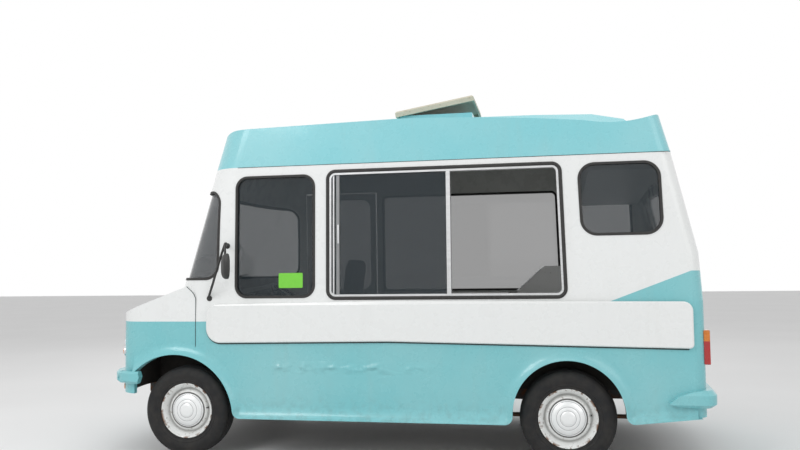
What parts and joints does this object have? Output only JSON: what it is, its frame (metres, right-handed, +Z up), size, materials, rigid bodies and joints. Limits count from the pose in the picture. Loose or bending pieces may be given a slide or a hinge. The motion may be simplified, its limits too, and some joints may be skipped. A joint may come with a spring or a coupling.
{
  "type": "ice cream truck",
  "caption": "Old ice cream van with a moulded white and teal body, long serving window, raised roof hatch and flared skirts.",
  "frame": {"origin": "on the ground, midway along the van and on its centre line", "axes": "+X to the van's rear, +Y to its right-hand side, +Z up"},
  "size_m": [4.3158, 2.372, 2.6376],
  "materials": {
    "body_white": "gloss",
    "body_teal": "gloss",
    "roof_white": "gloss",
    "chrome_trim": "polished",
    "seal_rubber": "matte",
    "tyre_black": "matte",
    "wheel_paint": "satin",
    "clear_glass": "clear",
    "frame_aluminium": "satin",
    "chassis_black": "satin",
    "exhaust_steel": "dull",
    "engine_iron": "matte",
    "floor_grey": "satin",
    "dash_plastic": "matte",
    "seat_vinyl": "satin",
    "counter_white": "gloss",
    "lamp_lens": "clear",
    "tail_lens": "gloss",
    "mirror_black": "matte",
    "lid_cream": "satin"
  },
  "bodies": {
    "van": {"roof": "body_teal", "side_left": "body_white", "side_right": "body_white", "windscreen_surround": "body_white", "rear_panel": "body_white", "skirts": "body_teal", "nose_panel": "body_teal", "grille": "chrome_trim", "front_lamps": "lamp_lens", "tail_lamps": "tail_lens", "bumpers": "body_teal", "window_seals": "seal_rubber", "fixed_glass": "clear_glass", "serving_frame": "frame_aluminium", "floor": "floor_grey", "wheel_houses": "floor_grey", "cab_boxes": "floor_grey", "dashboard": "dash_plastic", "seats": "seat_vinyl", "servery_units": "counter_white", "chassis": "chassis_black", "front_suspension": "chassis_black", "rear_axle": "chassis_black", "powertrain": "engine_iron", "exhaust": "exhaust_steel", "fuel_tank": "chassis_black", "mirror_left": "mirror_black", "wipers": "mirror_black"},
    "steering_wheel": {"steering_wheel": "dash_plastic"},
    "knuckle_left": {"knuckle_left": "chassis_black"},
    "knuckle_right": {"knuckle_right": "chassis_black"},
    "track_rod": {"track_rod": "chassis_black"},
    "driver_door": {"driver_door": "body_white", "driver_door_glass": "clear_glass", "mirror_right": "mirror_black"},
    "rear_door": {"rear_door": "body_white", "rear_door_glass": "clear_glass"},
    "bonnet": {"bonnet": "body_teal"},
    "hatch_lid": {"hatch_lid": "lid_cream"},
    "road_wheel_front_left": {"tyre_front_left": "tyre_black", "wheel_front_left": "wheel_paint"},
    "road_wheel_front_right": {"tyre_front_right": "tyre_black", "wheel_front_right": "wheel_paint"},
    "road_wheel_rear_left": {"tyre_rear_left": "tyre_black", "wheel_rear_left": "wheel_paint"},
    "road_wheel_rear_right": {"tyre_rear_right": "tyre_black", "wheel_rear_right": "wheel_paint"}
  },
  "joints": [
    {"name": "steer_left", "type": "hinge", "parent": "van", "child": "knuckle_left", "pos_m": [-1.503, -0.74, 0.318], "axis": [0, 0, 1], "range_deg": [-30, 30]},
    {"name": "steer_right", "type": "hinge", "parent": "van", "child": "knuckle_right", "pos_m": [-1.503, 0.74, 0.318], "axis": [0, 0, 1], "range_deg": [-30, 30]},
    {"name": "track_rod_slide", "type": "slide", "parent": "van", "child": "track_rod", "axis": [0, 1, 0], "range_m": [-0.067, 0.067]},
    {"name": "steering_wheel_turn", "type": "hinge", "parent": "van", "child": "steering_wheel", "pos_m": [-1.173, 0.47, 1.06], "axis": [0.6157, 0, 0.788], "range_deg": [-515, 515]},
    {"name": "driver_door_hinge", "type": "hinge", "parent": "van", "child": "driver_door", "pos_m": [-1.161, 0.989, 1.2], "axis": [0, 0, 1], "range_deg": [0, 70]},
    {"name": "rear_door_hinge", "type": "hinge", "parent": "van", "child": "rear_door", "pos_m": [2.082, 0.805, 1.2], "axis": [0, 0, 1], "range_deg": [0, 100]},
    {"name": "bonnet_hinge", "type": "hinge", "parent": "van", "child": "bonnet", "pos_m": [-1.751, 0, 1.122], "axis": [0, 1, 0], "range_deg": [0, 50]},
    {"name": "hatch_lid_hinge", "type": "hinge", "parent": "van", "child": "hatch_lid", "pos_m": [-0.065, 0, 2.486], "axis": [0, -1, 0], "range_deg": [-9.5, 50]},
    {"name": "spin_front_left", "type": "hinge", "parent": "knuckle_left", "child": "road_wheel_front_left", "pos_m": [-1.503, -0.832, 0.318], "axis": [0, 1, 0], "continuous": true},
    {"name": "spin_rear_left", "type": "hinge", "parent": "van", "child": "road_wheel_rear_left", "pos_m": [1.189, -0.832, 0.318], "axis": [0, 1, 0], "continuous": true},
    {"name": "spin_front_right", "type": "hinge", "parent": "knuckle_right", "child": "road_wheel_front_right", "pos_m": [-1.503, 0.832, 0.318], "axis": [0, 1, 0], "continuous": true},
    {"name": "spin_rear_right", "type": "hinge", "parent": "van", "child": "road_wheel_rear_right", "pos_m": [1.189, 0.832, 0.318], "axis": [0, 1, 0], "continuous": true}
  ],
  "couplings": [
    {"joint": "steer_right", "follows": "steer_left", "ratio": 1},
    {"joint": "track_rod_slide", "follows": "steer_left", "m_per_rad": 0.125},
    {"joint": "steering_wheel_turn", "follows": "steer_left", "ratio": 17}
  ]
}
